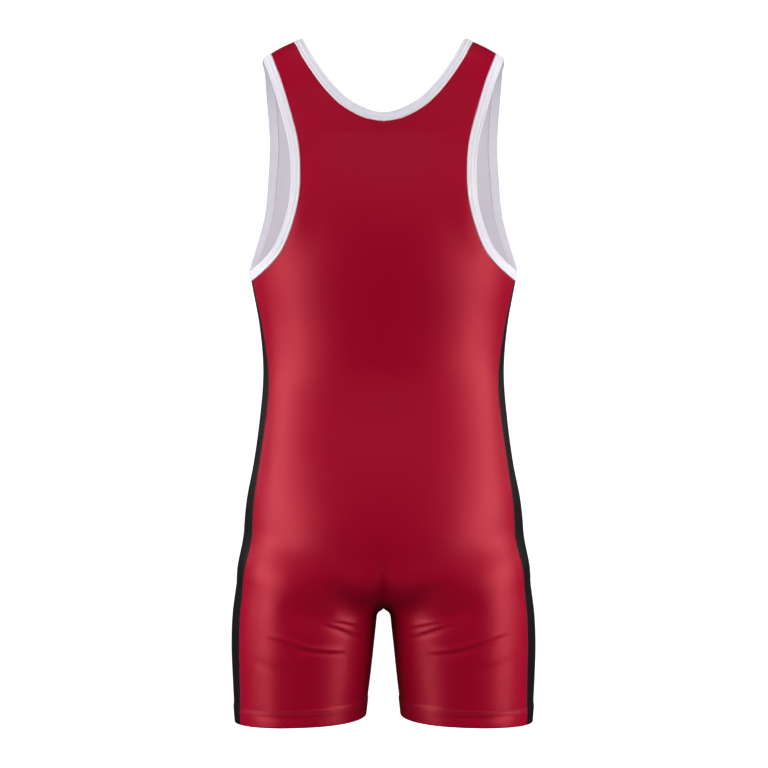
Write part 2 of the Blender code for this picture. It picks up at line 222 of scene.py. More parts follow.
def reach(points, table, columns, above, below, side=1.0):
    """Say how far out points are on one body of the figure: 1 on its skin, less inside."""
    low, high = table[0][0], table[-1][0]
    height = np.clip(points[:, 2], low, high)
    middle = side * column(table, columns, "middle", height) if "middle" in columns else 0.0
    half_width = column(table, columns, "half_width", height)
    back = column(table, columns, "back", height)
    front = column(table, columns, "front", height)
    x = np.abs(points[:, 0] - middle) / half_width
    y = np.abs(points[:, 1]) / np.where(points[:, 1] < 0, back, front)
    past = points[:, 2] - height
    z = np.where(past > 0, past / above, -past / below)
    total = x ** ROUNDNESS + y ** ROUNDNESS + z ** ROUNDNESS
    return total ** (1 / ROUNDNESS)


def trunk_reach(points):
    return reach(points, TRUNK, TRUNK_COLUMNS, SHOULDER_RISE, SEAT_DROP)


def right_thigh_reach(points):
    return reach(points, THIGH, THIGH_COLUMNS, THIGH_RISE, THIGH_RISE)


def left_thigh_reach(points):
    return reach(points, THIGH, THIGH_COLUMNS, THIGH_RISE, THIGH_RISE, side=-1.0)


def slope(function, points, step=0.25):
    """Return the function's gradient at the points."""
    moves = step * np.vstack([np.eye(3), -np.eye(3)])
    values = function((points[None] + moves[:, None]).reshape(-1, 3)).reshape(6, -1)
    return (values[:3] - values[3:]).T / (2 * step)


def height_over(body, points):
    """Return the points' distance from a body's skin, negative inside."""
    steepness = np.linalg.norm(slope(body, points), axis=1)
    return (body(points) - 1) / np.maximum(steepness, 1e-4)


def blend(a, b):
    """Join two distances with a soft fillet."""
    overlap = np.maximum(FORK_BLEND - np.abs(a - b), 0)
    return np.minimum(a, b) - overlap ** 2 / (4 * FORK_BLEND)


def figure(points):
    """Return the points' distance from the whole figure."""
    legs = blend(height_over(right_thigh_reach, points), height_over(left_thigh_reach, points))
    return blend(legs, height_over(trunk_reach, points))


def onto(points, free=(1, 1, 1), rounds=7):
    """Move points onto the figure along the axes in which they are free."""
    points = np.array(points, float).reshape(-1, 3)
    for _ in range(rounds):
        gradient = slope(figure, points) * np.array(free, float)
        steep = np.maximum((gradient ** 2).sum(axis=1), 0.05)
        points = points - (figure(points) / steep)[:, None] * gradient
    return points


def lengths(points):
    """Return the running length along a line of points."""
    steps = np.linalg.norm(np.diff(points, axis=0), axis=1)
    return np.concatenate([[0.0], np.cumsum(steps)])


def along(points, distances):
    """Return the points that lie at the given distances along a line."""
    run = lengths(points)
    return np.stack([np.interp(distances, run, points[:, k]) for k in range(3)], axis=1)


def evenly(points):
    """Space a fine line of points on the figure evenly and keep its ends."""
    for _ in range(2):
        line = along(points, np.linspace(0, lengths(points)[-1], FINE + 1))
        line[1:-1] = onto(line[1:-1], rounds=3)
        points = line
    return points


def spaced(points, count):
    """Pick a row's points from a line on the figure, with short steps beside its two ends."""
    points = evenly(points)
    whole = lengths(points)[-1]
    step = min(EDGE_STEP, whole / count)
    places = np.concatenate([[0.0], np.linspace(step, whole - step, count - 1), [whole]])
    even = along(points, places)
    even[1:-1] = onto(even[1:-1], rounds=3)
    return even


def straight(start, end, count=FINE):
    """Return a straight line of points from start to end."""
    t = np.linspace(0, 1, count + 1)[:, None]
    return (1 - t) * np.asarray(start) + t * np.asarray(end)


def edge_points(table):
    """Put each row of an edge's table onto the figure."""
    free = {"back": (0, 1, 0), "front": (0, 1, 0), "top": (0, 0, 1), "side": (1, 0, 0)}
    depth = {"back": -60.0, "front": 60.0, "top": 0.0, "side": 0.0}
    found = []
    for values in table:
        row = dict(zip(EDGE_COLUMNS, values))
        start = (row["half_width"], depth[row["face"]], row["height"])
        found.append(onto(start, free[row["face"]], rounds=14)[0])
    return np.array(found)


def edge_line(points, before, after):
    """Return a fine smooth line through points, given its neighbours past both ends."""
    knots = np.vstack([before, points, after])
    run = lengths(knots)
    at = np.linspace(run[len(before)], run[-1 - len(after)], 361)
    return onto(smooth_between(at, run, knots), rounds=3)


def moved_in(line, distance, closed=False):
    """Move a free edge's points into the cloth, square to the edge."""
    if closed:
        ahead, behind = np.roll(line, -1, axis=0), np.roll(line, 1, axis=0)
        tangent = ahead - behind
    else:
        tangent = np.gradient(line, axis=0)
        tangent[[0, -1], 1:] = 0.0
    across = np.cross(tangent, slope(figure, line))
    across /= np.linalg.norm(across, axis=1)[:, None]
    return onto(line + distance * across, rounds=3)


def neck_line():
    """Return the neck's free edge on the right half, from the back's centre to the front's."""
    points = edge_points(NECK)
    mirror = np.array([-1, 1, 1])
    line = edge_line(points, points[1:2] * mirror, points[-2:-1] * mirror)
    line[[0, -1], 0] = 0.0
    return line


def armhole_line():
    """Return the armhole's free edge, from the shoulder round the back and up the front."""
    points = edge_points(ARMHOLE)
    return edge_line(points, points[-2:], np.vstack([points[:1], points[1:3]]))[:-1]


def flank(height, face):
    """Return the level section from the flank's widest line towards the back or front."""
    y = face * np.linspace(0, 70, 71)
    start = column(TRUNK, TRUNK_COLUMNS, "half_width", height)
    guess = np.stack([np.full(71, float(start)), y, np.full(71, float(height))], axis=1)
    return onto(guess, (1, 0, 0), rounds=9)


def seam_point(height, face, beyond):
    """Return the side seam's point at a height, moved beyond it, away from the flank."""
    half_width = column(SIDE, SIDE_COLUMNS, "half_width", height)
    return along(flank(height, face), [half_width + beyond])[0]


def seam_top(armhole, face):
    """Return the height at which the side seam runs under the armhole's binding."""
    low, high = SIDE[-2][0], armhole[:, 2].min()
    for _ in range(18):
        middle = (low + high) / 2
        point = seam_point(middle, face, 0.0)
        clear = np.linalg.norm(armhole - point, axis=1).min() > ARM_BINDING_WIDTH + SEAM_GAP / 2
        low, high = (middle, high) if clear else (low, middle)
    return (low + high) / 2


def centre_curve(face):
    """Return the centre line under the seat or the belly, from SEAT_TOP to the fork."""
    turn = np.linspace(0, 0.5 * np.pi, 61)
    y = face * 115 * np.cos(turn)
    z = SEAT_TOP - 130 * np.sin(turn)
    line = onto(np.stack([0 * turn, y, z], axis=1), (0, 1, 1))
    line[-1] = (0.0, face * SEAM_GAP / 2, fork_height(face))
    line[0] = onto((0, face * 100, SEAT_TOP), (0, 1, 0))[0]
    return line


def fork_height(face):
    """Return the height of the fork beside the inseam."""
    return onto((0, face * SEAM_GAP / 2, TRUNK[0][0] - SEAT_DROP), (0, 0, 1))[0, 2]


def inseam_point(height, face):
    """Return a point on the inner thigh, beside the inseam."""
    return onto((10.0, face * SEAM_GAP / 2, height), (1, 0, 0), rounds=12)[0]


def leg_row(inner, outer, face):
    """Return a row round half of the thigh from the inseam to the side seam."""
    share = np.linspace(0, 1, FINE + 1)
    z = np.minimum(inner[2] + (outer[2] - inner[2]) * share, leg_top())
    middle = column(THIGH, THIGH_COLUMNS, "middle", z)
    half_width = column(THIGH, THIGH_COLUMNS, "half_width", z)
    depth = column(THIGH, THIGH_COLUMNS, "back" if face < 0 else "front", z)
    last = np.arctan2(abs(outer[1]) / depth[-1], (outer[0] - middle[-1]) / half_width[-1])
    turn = np.linspace(np.pi, last, FINE + 1)
    x = middle + half_width * np.cos(turn)
    y = face * depth * np.sin(turn)
    line = onto(np.stack([x, y, z], axis=1), (1, 1, 0))
    line[0], line[-1] = inner, outer
    return line


def leg_top():
    """Return the level just under the fork, where the legs part."""
    return fork_height(BACK) - FORK_STEP / 2


def seat_row(upper, lower, share):
    """Return a row that lies between the trunk's last level row and the fork's row."""
    u = np.linspace(0, 1, FINE + 1)[:, None]
    hub = np.hstack([90 * u, 0 * u, SEAT_TOP - 60 * u])
    start, end = upper - hub, lower - hub
    far = np.linalg.norm(start, axis=1), np.linalg.norm(end, axis=1)
    cosine = (start * end).sum(axis=1) / (far[0] * far[1])
    angle = np.arccos(np.clip(cosine, -1, 1))[:, None]
    a, b = np.sin((1 - share) * angle), np.sin(share * angle)
    return onto(hub + (a * start + b * end) / np.sin(angle))


def panel_rows(face, neck, armhole, side_heights):
    """Return the net of a back or front half: rows from the shoulder down to the hem."""
    centre_top = onto((0, face * 90, neck[-1][2]), (0, 1, 0))[0]
    rows = []
    for a, b in zip(neck, armhole):
        rows.append(spaced(onto(straight(a, b)), PANEL_COLUMNS))
    rows[0] = shoulder_row(rows[0], face)
    yoke = np.linspace(centre_top[2], YOKE_FOOT, YOKE_ROWS + 1)[1:]
    for z, b in zip(yoke, armhole[STRAP_ROWS + 1:]):
        a = onto((0, face * 90, z), (0, 1, 0))[0]
        rows.append(spaced(onto(straight(a, b)), PANEL_COLUMNS))
    trunk = np.linspace(YOKE_FOOT, SEAT_TOP, TRUNK_ROWS + 1)[1:]
    half_gap = SEAM_GAP / 2
    for z, side_z in zip(trunk, side_heights[1:]):
        a = onto((0, face * 90, z), (0, 1, 0))[0]
        b = seam_point(side_z, face, half_gap)
        line = onto(straight(a, b))
        rows.append(spaced(line, PANEL_COLUMNS))
    upper = evenly(line)
    curve = centre_curve(face)
    under = along(curve, np.linspace(0, lengths(curve)[-1], SEAT_ROWS + 1))
    under[1:-1] = onto(under[1:-1], (0, 1, 1))
    seat = side_heights[TRUNK_ROWS:TRUNK_ROWS + SEAT_ROWS + 1]
    lower = evenly(leg_row(under[-1], seam_point(seat[-1], face, half_gap), face))
    for k in range(1, SEAT_ROWS):
        line = seat_row(upper, lower, k / SEAT_ROWS)
        line[0], line[-1] = under[k], seam_point(seat[k], face, half_gap)
        rows.append(spaced(line, PANEL_COLUMNS))
    rows.append(spaced(lower, PANEL_COLUMNS))
    for inner, outer in zip(inseam_heights(), side_heights[TRUNK_ROWS + SEAT_ROWS + 1:]):
        a = inseam_point(inner, face)
        b = seam_point(outer, face, half_gap)
        rows.append(spaced(leg_row(a, b, face), PANEL_COLUMNS))
    return rows


def shoulder_row(row, face):
    """Move a strap's top row off the shoulder seam."""
    row = row + np.array([0, face * SEAM_GAP / 2, 0])
    return onto(row, (0, 0, 1))


def inseam_heights():
    """Return the heights of the leg's rows at the inseam, the last three at the hem."""
    top, hem = fork_height(BACK) - FORK_STEP, HEM_HEIGHT + HEM_LIFT
    plain = np.linspace(top, hem + HEM_DEPTH + 1, LEG_ROWS)
    return np.concatenate([plain, [hem + HEM_DEPTH, hem]])


def outer_heights(top):
    """Return the heights of every row at the side seam, from under the armhole down."""
    trunk = np.linspace(top, SEAT_TOP, TRUNK_ROWS + 1)
    seat = np.linspace(SEAT_TOP, leg_top(), SEAT_ROWS + 1)[1:]
    first = leg_top() - FORK_STEP
    plain = np.linspace(first, HEM_HEIGHT + HEM_DEPTH + 1, LEG_ROWS)
    return np.concatenate([trunk, seat, plain, [HEM_HEIGHT + HEM_DEPTH, HEM_HEIGHT]])


def side_rows(back_heights, front_heights, armhole_foot):
    """Return the side panel's net, its first row under the armhole."""
    rows = [armhole_foot]
    for back_z, front_z in zip(back_heights[1:], front_heights[1:]):
        a = seam_point(back_z, BACK, -SEAM_GAP / 2)
        b = seam_point(front_z, FRONT, -SEAM_GAP / 2)
        rows.append(spaced(onto(straight(a, b)), SIDE_PANEL_COLUMNS))
    return rows


def layout():
    """Return the coarse nets of the panels and the free edges of the bindings."""
    neck = neck_line()
    crest = int(np.argmin(np.abs(neck[:, 1])))
    shares = np.linspace(0, 1, STRAP_ROWS + 1)
    neck_back = along(neck[:crest + 1][::-1], shares * lengths(neck[:crest + 1])[-1])
    neck_front = along(neck[crest:], shares * lengths(neck[crest:])[-1])
    neck_edge = np.vstack([neck_back[::-1], neck_front[1:]])

    armhole = armhole_line()
    feet = {}
    for face in (BACK, FRONT):
        top = seam_top(armhole, face)
        point = seam_point(top, face, 0.0)
        near = int(np.argmin(np.linalg.norm(armhole - point, axis=1)))
        feet[face] = (top, near)
    run = lengths(np.vstack([armhole, armhole[:1]]))
    turns = {}
    for side, share in STRAP_SHARE.items():
        strap_turns = np.linspace(0, share, STRAP_ROWS + 1)
        yoke_turns = np.linspace(share, 1, YOKE_ROWS + 1)[1:]
        turns[side] = np.concatenate([strap_turns, yoke_turns])
    back_length = run[feet[BACK][1]]
    front_start, whole = run[feet[FRONT][1]], run[-1]
    foot_at = np.linspace(back_length, front_start, SIDE_PANEL_COLUMNS + 1)
    front_at = whole - turns["front"][::-1] * (whole - front_start)
    closed = np.vstack([armhole, armhole[:1]])
    at = np.concatenate([turns["back"] * back_length, foot_at[1:-1], front_at[:-1]])
    arm_edge = along(closed, at)

    half_gap = SEAM_GAP / 2
    neck_inner = moved_in(neck_edge, NECK_BINDING_WIDTH + half_gap)
    neck_inner[[0, -1], 0] = 0.0
    arm_inner = moved_in(arm_edge, ARM_BINDING_WIDTH + half_gap, closed=True)

    count = STRAP_ROWS + YOKE_ROWS
    back_arm = arm_inner[:count + 1]
    front_arm = np.vstack([arm_inner[:1], arm_inner[::-1][:count]])
    back_neck = neck_inner[:STRAP_ROWS + 1][::-1]
    front_neck = neck_inner[STRAP_ROWS:]
    foot = arm_inner[count:count + SIDE_PANEL_COLUMNS + 1].copy()

    heights = {face: outer_heights(feet[face][0]) for face in (BACK, FRONT)}
    back_arm[-1] = seam_point(back_arm[-1][2], BACK, half_gap)
    front_arm[-1] = seam_point(front_arm[-1][2], FRONT, half_gap)
    foot[0] = seam_point(foot[0][2], BACK, -half_gap)
    foot[-1] = seam_point(foot[-1][2], FRONT, -half_gap)
    nets = {
        "back_panel": panel_rows(BACK, back_neck, back_arm, heights[BACK]),
        "front_panel": panel_rows(FRONT, front_neck, front_arm, heights[FRONT]),
        "side_panel": side_rows(heights[BACK], heights[FRONT], foot),
    }
    for face in ("back_panel", "front_panel"):
        nets[face][-3 - LEG_ROWS][0][0] = 0.0
    return {name: np.array(rows) for name, rows in nets.items()}, neck, armhole


# ---------------------------------------------------------------- creases

# Soft creases, each along a line of (x, z) points in millimetres.  depth is the trough's, lift the
# ridge's above it, and half_width how far each reaches across.
CREASE_COLUMNS = ("depth", "lift", "half_width", "line")
CREASE_POINTS = 49  # along each line
CREASE_REACH = 4.0  # half widths past which a crease is over
RIDGE_PLACE, RIDGE_WIDTH = 1.7, 1.1  # the ridge beside the trough, in half widths
BACK_CREASES = (
    (2.0, 1.9, 2.6, ((-128, -714), (-112, -719), (-95, -726), (-72, -730), (-52, -732))),
    (2.0, 1.6, 2.3, ((-64, -699), (-47, -706), (-33, -716))),
    (1.2, 0.9, 2.3, ((-57, -695), (-42, -699), (-31, -704))),
    (1.9, 1.7, 2.6, ((62, -733), (82, -730), (104, -724), (140, -711))),
    (1.8, 1.5, 2.3, ((37, -715), (56, -706), (79, -698))),
    (1.1, 0.9, 2.3, ((34, -705), (54, -699), (72, -695))),
    (0.5, 0.4, 6.0, ((-150, -742), (-120, -750), (-86, -748))),
    (0.5, 0.4, 6.0, ((92, -752), (126, -748), (152, -738))),
    (3.6, 0.0, 14.0, ((-116, -668), (-92, -684), (-58, -690))),
    (3.3, 0.0, 14.0, ((50, -690), (84, -685), (112, -668))),
    (3.8, 0.0, 9.0, ((0, -636), (0, -658), (0, -690))),
    (-3.6, 0.0, 20.0, ((-98, -180), (-102, -215), (-124, -258))),
    (-3.6, 0.0, 20.0, ((98, -180), (102, -215), (124, -258))),
    (-3.2, 0.0, 12.0, ((-20, -636), (-25, -664), (-31, -690))),
    (-3.0, 0.0, 12.0, ((20, -636), (25, -664), (31, -690))),
    (1.5, 0.0, 4.5, ((-148, -805), (-112, -807), (-70, -806))),
    (1.5, 0.0, 4.5, ((72, -806), (114, -807), (148, -805))),
    (0.4, 0.3, 9.0, ((-92, -380), (-40, -392), (20, -396))),
    (0.4, 0.3, 9.0, ((10, -412), (60, -404), (104, -388))),
)
FRONT_CREASES = (
    (1.6, 1.0, 5.0, ((-138, -628), (-100, -655), (-58, -676))),
    (1.5, 1.0, 5.0, ((56, -677), (104, -652), (140, -622))),
    (1.2, 0.9, 3.6, ((-62, -694), (-42, -700), (-26, -705))),
    (1.2, 0.9, 3.6, ((28, -704), (46, -698), (70, -692))),
    (1.0, 0.6, 4.5, ((-130, -722), (-96, -730), (-60, -728))),
    (1.0, 0.6, 4.5, ((60, -730), (92, -733), (128, -720))),
    (0.6, 0.4, 8.0, ((-90, -392), (-30, -404), (30, -402))),
    (0.5, 0.4, 8.0, ((-6, -420), (48, -416), (98, -398))),
    (0.6, 0.4, 7.0, ((-128, -268), (-104, -284), (-74, -290))),
    (0.6, 0.4, 7.0, ((72, -292), (102, -286), (130, -266))),
)


def crease_height(points, creases):
    """Return how far creases move points out of the cloth's smooth form."""
    total = np.zeros(len(points))
    flat = points[:, [0, 2]]
    for values in creases:
        crease = dict(zip(CREASE_COLUMNS, values))
        half_width = crease["half_width"]
        knots = np.array(crease["line"], float)
        run = np.concatenate([[0], np.cumsum(np.linalg.norm(np.diff(knots, axis=0), axis=1))])
        at = np.linspace(0, run[-1], CREASE_POINTS)
        fine = smooth_between(at, run, knots)
        tangent = np.gradient(fine, axis=0)
        tangent /= np.linalg.norm(tangent, axis=1)[:, None]
        low = fine.min(axis=0) - CREASE_REACH * half_width
        high = fine.max(axis=0) + CREASE_REACH * half_width
        near = ((flat > low) & (flat < high)).all(axis=1)
        if not near.any():
            continue
        offset = flat[near][:, None, :] - fine[None]
        nearest = (offset ** 2).sum(axis=2).argmin(axis=1)
        span = np.arange(len(nearest))
        delta = offset[span, nearest]
        along_line = (delta * tangent[nearest]).sum(axis=1)
        across = tangent[nearest, 0] * delta[:, 1] - tangent[nearest, 1] * delta[:, 0]
        if tangent[:, 0].sum() < 0:
            across = -across
        share = at[nearest] / run[-1]
        fade = np.sin(np.pi * np.clip(0.08 + 0.84 * share, 0, 1)) ** 0.8
        fade = fade * np.exp(-(along_line / (1.5 * half_width)) ** 2)
        trough = np.exp(-(across / half_width) ** 2)
        ridge = np.exp(-((across - RIDGE_PLACE * half_width) / (RIDGE_WIDTH * half_width)) ** 2)
        total[near] += fade * (crease["lift"] * ridge - crease["depth"] * trough)
    return total


def drift(points):
    """Return a very soft unevenness of the stretched cloth."""
    x, y, z = points.T
    wave = np.sin(0.021 * x + 0.013 * z + 0.4) * np.sin(0.017 * z - 0.011 * y + 1.3)
    return 0.35 * wave + 0.2 * np.sin(0.045 * x - 0.031 * z + 0.02 * y)


def cloth_height(points):
    """Return how far the cloth lies out of its smooth form, over the whole garment."""
    back = points[:, 1] < 0
    height = drift(points)
    height[back] += crease_height(points[back], BACK_CREASES)
    height[~back] += crease_height(points[~back], FRONT_CREASES)
    return height


# ---------------------------------------------------------------- nets


def refined(net, down, across):
    """Return a finer net: every step of the given one in `down` rows and `across` columns."""
    rows, columns = net.shape[:2]
    at = np.linspace(0, rows - 1, (rows - 1) * down + 1)
    net = smooth_between(at, np.arange(rows), net.reshape(rows, -1)).reshape(len(at), columns, 3)
    at = np.linspace(0, columns - 1, (columns - 1) * across + 1)
    turned = net.transpose(1, 0, 2).reshape(columns, -1)
    return smooth_between(at, np.arange(columns), turned).reshape(len(at), -1, 3).transpose(1, 0, 2)


def joined(sections):
    """Join nets end to end; each starts on the row where the one before it ends."""
    return np.concatenate([sections[0]] + [net[1:] for net in sections[1:]])


def fine_panel(net):
    """Return a panel half's fine net, on the figure, with its edges kept."""
    a, b = STRAP_ROWS, STRAP_ROWS + YOKE_ROWS
    c = b + TRUNK_ROWS + SEAT_ROWS
    d = len(net) - 2
    parts = (
        refined(net[:a + 1], STRAP_FINE, FINE_ACROSS),
        refined(net[a:b + 1], YOKE_FINE, FINE_ACROSS),
        refined(net[b:c + 1], TRUNK_FINE, FINE_ACROSS),
        refined(net[c:d], LEG_FINE, FINE_ACROSS),
        refined(net[d - 1:], 1, FINE_ACROSS)[:2],
        refined(net[-2:], HEM_FINE, FINE_ACROSS),
    )
    fine = joined(parts)
    edge = fine[:, [0, -1]].copy()
    fine = onto(fine, rounds=3).reshape(fine.shape)
    fine[:, [0, -1]] = edge
    return fine


def above_hem(points):
    """Return how far points are above the leg's end."""
    inward = np.clip((HEM_OUTSIDE - np.abs(points[:, 0])) / HEM_SPAN, 0, 1)
    return points[:, 2] - (HEM_HEIGHT + HEM_LIFT * inward)


def hem_share(points):
    """Return 1 on a turned-up hem, 0 above it, with a short slope between."""
    return np.clip((HEM_DEPTH + HEM_SLOPE / 2 - above_hem(points)) / HEM_SLOPE, 0, 1)


def hem_groove(points):
    """Return the depth that the hem's stitch line is drawn in by."""
    from_line = above_hem(points) - HEM_DEPTH + HEM_GROOVE_DROP
    return np.exp(-(from_line / HEM_GROOVE_WIDTH) ** 2) * HEM_GROOVE_DEPTH


def unit_normals(points):
    """Return the figure's outward unit normals."""
    normal = slope(figure, points)
    return normal / np.linalg.norm(normal, axis=1)[:, None]


def mesh_object(name, points, faces, materials, inner=None):
    """Make a smooth mesh object in metres; inner faces take the second material."""
    mesh = bpy.data.meshes.new(name)
    mesh.from_pydata((points * MM).tolist(), [], faces.tolist())
    for material in materials:
        mesh.materials.append(material)
    if inner is not None:
        mesh.polygons.foreach_set("material_index", inner.astype(np.int32))
    mesh.shade_smooth()
    mesh.validate()
    thing = bpy.data.objects.new(name, mesh)
    bpy.context.scene.collection.objects.link(thing)
    return thing


def grid_faces(rows, columns):
    """Return the quads of a rectangular net."""
    i, j = np.meshgrid(np.arange(rows - 1), np.arange(columns - 1), indexing="ij")
    a = (i * columns + j).ravel()
    return np.stack([a, a + columns, a + columns + 1, a + 1], axis=1)


def boundary(faces):
    """Return the directed edges that only one face has."""
    edges = np.concatenate([faces[:, [k, (k + 1) % 4]] for k in range(4)])
    size = edges.max() + 1
    key = edges[:, 0] * size + edges[:, 1]
    back = edges[:, 1] * size + edges[:, 0]
    return edges[~np.isin(key, back)]


def weld(points, faces, tolerance=1e-3):
    """Join points that coincide."""
    key = np.round(points / tolerance).astype(np.int64)
    _, first, index = np.unique(key, axis=0, return_index=True, return_inverse=True)
    return points[first], index.reshape(-1)[faces]


def shell(name, nets, materials, wall=WALL):
    """Make a cloth shell from nets on the figure: its outer face, inner face and cut rim."""
    points, faces, count = [], [], 0
    for net in nets:
        faces.append(grid_faces(*net.shape[:2]) + count)
        points.append(net.reshape(-1, 3))
        count += points[-1].shape[0]
    points, faces = weld(np.concatenate(points), np.concatenate(faces))
    normal = unit_normals(points)
    a, b, c = (points[faces[:, k]] for k in (0, 1, 3))
    facing = (np.cross(b - a, c - a) * normal[faces[:, 0]]).sum(axis=1)
    faces[facing < 0] = faces[facing < 0][:, ::-1]
    lift = cloth_height(points)
    share = hem_share(points)
    thick = wall + (HEM_WALL - wall) * share - hem_groove(points)
    outer = points + (lift + thick)[:, None] * normal
    inner = points + lift[:, None] * normal
    size = len(points)
    rim = boundary(faces)
    sides = np.stack([rim[:, 1], rim[:, 0], rim[:, 0] + size, rim[:, 1] + size], axis=1)
    every = np.concatenate([faces, faces[:, ::-1] + size, sides])
    kind = np.concatenate([np.zeros(len(faces)), np.ones(len(faces)), np.zeros(len(sides))])
    return mesh_object(name, np.concatenate([outer, inner]), every, materials, kind)


def mirrored(net):
    return net * np.array([-1, 1, 1])


# ---------------------------------------------------------------- bindings


def even_ring(line, count):
    """Space a closed line of points evenly."""
    closed = np.vstack([line, line[:1]])
    at = np.linspace(0, lengths(closed)[-1], count + 1)[:-1]
    return along(closed, at)


def binding_profile(width, points=15):
    """Return a folded binding's section: (distance from the free edge, height) round the fold."""
    t = np.linspace(0, 1, points)
    s = width * (0.5 - 0.5 * np.cos(np.pi * t))
    near = np.clip(s / FOLD_ROUND, 0, 1)
    far = np.clip((width - s) / FREE_ROUND, 0, 1)
    fold = np.sqrt(1 - (1 - near) ** 2)
    top = BINDING_TOP * fold * (0.55 + 0.45 * np.sqrt(1 - (1 - far) ** 2))
    for place in GROOVE_PLACES:
        top = top - GROOVE_DEPTH * np.exp(-((s - place * width) / GROOVE_WIDTH) ** 2)
    under = -BINDING_UNDER * fold * (0.6 + 0.4 * far)
    over = np.stack([s, top + BINDING_LIFT], axis=1)
    below = np.stack([s, under + BINDING_LIFT], axis=1)[::-1]
    return np.vstack([over, below[:-1]])


def binding(name, edge, width, material):
    """Make a binding round a closed free edge on the figure."""
    profile = binding_profile(width)
    reaches = np.unique(np.round(profile[:, 0], 4))
    bases = {r: moved_in(edge, r, closed=True) for r in reaches}
    sections = []
    run = lengths(edge)
    pucker = 0.10 * np.sin(2 * np.pi * run / 5.1) + 0.05 * np.sin(2 * np.pi * run / 8.7 + 1)
    for reach_in, height in profile:
        base = bases[np.round(reach_in, 4)]
        lift = height + cloth_height(base) + (pucker if height > 0.3 else 0)
        sections.append(base + np.asarray(lift)[:, None] * unit_normals(base))
    net = np.stack(sections, axis=1)
    rows, columns = net.shape[:2]
    i, j = np.meshgrid(np.arange(rows), np.arange(columns), indexing="ij")
    a, b = i * columns + j, (i + 1) % rows * columns + j
    c, d = (i + 1) % rows * columns + (j + 1) % columns, i * columns + (j + 1) % columns
    faces = np.stack([a, b, c, d], axis=-1).reshape(-1, 4)
    return mesh_object(name, net.reshape(-1, 3), faces, [material])


# ---------------------------------------------------------------- stitches


def stitch_mesh(name, starts, ends, outward, radius, material):
    """Make many short thread stitches, each a six-sided bead from start to end."""
    starts, ends, outward = (np.asarray(v, float) for v in (starts, ends, outward))
    middle = (starts + ends) / 2
    axis = ends - starts
    half = np.linalg.norm(axis, axis=1)[:, None] / 2
    axis = axis / (2 * half)
    side = np.cross(axis, outward)
    side /= np.linalg.norm(side, axis=1)[:, None]
    up = np.cross(side, axis)
    stations = (
        (-1.0, 0.25, -0.35),
        (-0.7, 0.85, 0.3),
        (0.0, 1.0, 0.6),
        (0.7, 0.85, 0.3),
        (1.0, 0.25, -0.35),
    )
    rings = []
    for place, fat, raise_ in stations:
        for turn in np.linspace(0, 2 * np.pi, 7)[:-1]:
            point = middle + place * half * axis + radius * raise_ * up
            point = point + radius * fat * (np.cos(turn) * side + 0.75 * np.sin(turn) * up)
            rings.append(point)
    count = len(stations) * 6
    points = np.stack(rings, axis=1).reshape(-1, 3)
    one = []
    for r in range(len(stations) - 1):
        for k in range(6):
            n = (k + 1) % 6
            one.append((r * 6 + k, r * 6 + n, r * 6 + 6 + n, r * 6 + 6 + k))
    last = (len(stations) - 1) * 6
    caps = ((0, (0, 3, 2, 1)), (0, (0, 5, 4, 3)), (last, (0, 1, 2, 3)), (last, (0, 3, 4, 5)))
    for base, order in caps:
        one.append(tuple(base + k for k in order))
    one = np.array(one)
    faces = (one[None] + (np.arange(len(starts)) * count)[:, None, None]).reshape(-1, 4)
    return mesh_object(name, points, faces, [material])


def on_cloth(points, height):
    """Put points at a height above the cloth's inner face."""
    points = onto(points, rounds=2)
    normal = unit_normals(points)
    return points + (cloth_height(points) + height)[:, None] * normal, normal


def run_of(line, pitch, closed=False):
    """Return places along a line at a stitch's pitch."""
    if closed:
        line = np.vstack([line, line[:1]])
    total = lengths(line)[-1]
    count = max(int(total / pitch), 1)
    return along(line, (np.arange(count) + 0.12) * total / count), along(
        line, (np.arange(count) + 0.88) * total / count
    )


def zigzag(left, right, pitch):
    """Return the stitches of a flat seam that cross between two lines."""
    total = min(lengths(left)[-1], lengths(right)[-1])
    count = int(total / pitch)
    share = np.arange(count + 1) / count
    a = along(left, share * lengths(left)[-1])
    b = along(right, share * lengths(right)[-1])
    starts = np.concatenate([a[:-1], b[:-1]])
    ends = np.concatenate([b[:-1], a[1:]])
    return starts, ends


# ---------------------------------------------------------------- materials


def node(tree, kind, **values):
    made = tree.nodes.new(kind)
    for name, value in values.items():
        setattr(made, name, value)
    return made


